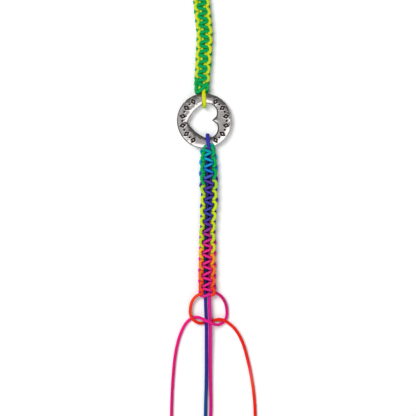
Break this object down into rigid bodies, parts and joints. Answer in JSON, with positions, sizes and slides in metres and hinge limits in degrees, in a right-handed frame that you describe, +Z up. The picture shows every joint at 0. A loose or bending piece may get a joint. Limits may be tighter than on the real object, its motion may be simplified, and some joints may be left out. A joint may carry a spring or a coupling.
{
  "type": "friendship bracelet",
  "caption": "Open friendship bracelet: a round metal ring with a heart-shaped hole between two square-knotted cord bands, with loose cord ends for tying.",
  "frame": {"origin": "on the surface that the bracelet lies on, under the centre of the ring", "axes": "+Y along the bands, towards the band that the picture shows above the ring; +Z up, out of the ring's face; +X to the picture's right"},
  "size_m": [0.0359, 0.2262, 0.0048],
  "materials": {
    "antiqued_metal": "polished cast ring with a dark patina in its stamped marks",
    "cord_yellow": "braided nylon cord, yellow to green along its length",
    "cord_green": "braided nylon cord, green and yellow along its length",
    "cord_rainbow": "braided nylon cord, blue, violet, pink, green, yellow and red along its length",
    "cord_blue": "braided nylon cord, violet-blue to blue",
    "cord_pink": "braided nylon cord, hot pink",
    "cord_red": "braided nylon cord, orange-red to salmon"
  },
  "bodies": {
    "root": {"ring_charm": "antiqued_metal", "upper_ring_loop": "cord_yellow", "lower_ring_loop": "cord_blue", "upper_band": "cord_green", "lower_band": "cord_rainbow", "core_strand_left": "cord_blue", "core_strand_right": "cord_pink", "knot_strand_front": "cord_pink", "knot_strand_back": "cord_red", "upper_core_tail_left": "cord_yellow", "upper_core_tail_right": "cord_yellow", "upper_knot_tail_left": "cord_green", "upper_knot_tail_right": "cord_green"}
  },
  "joints": []
}
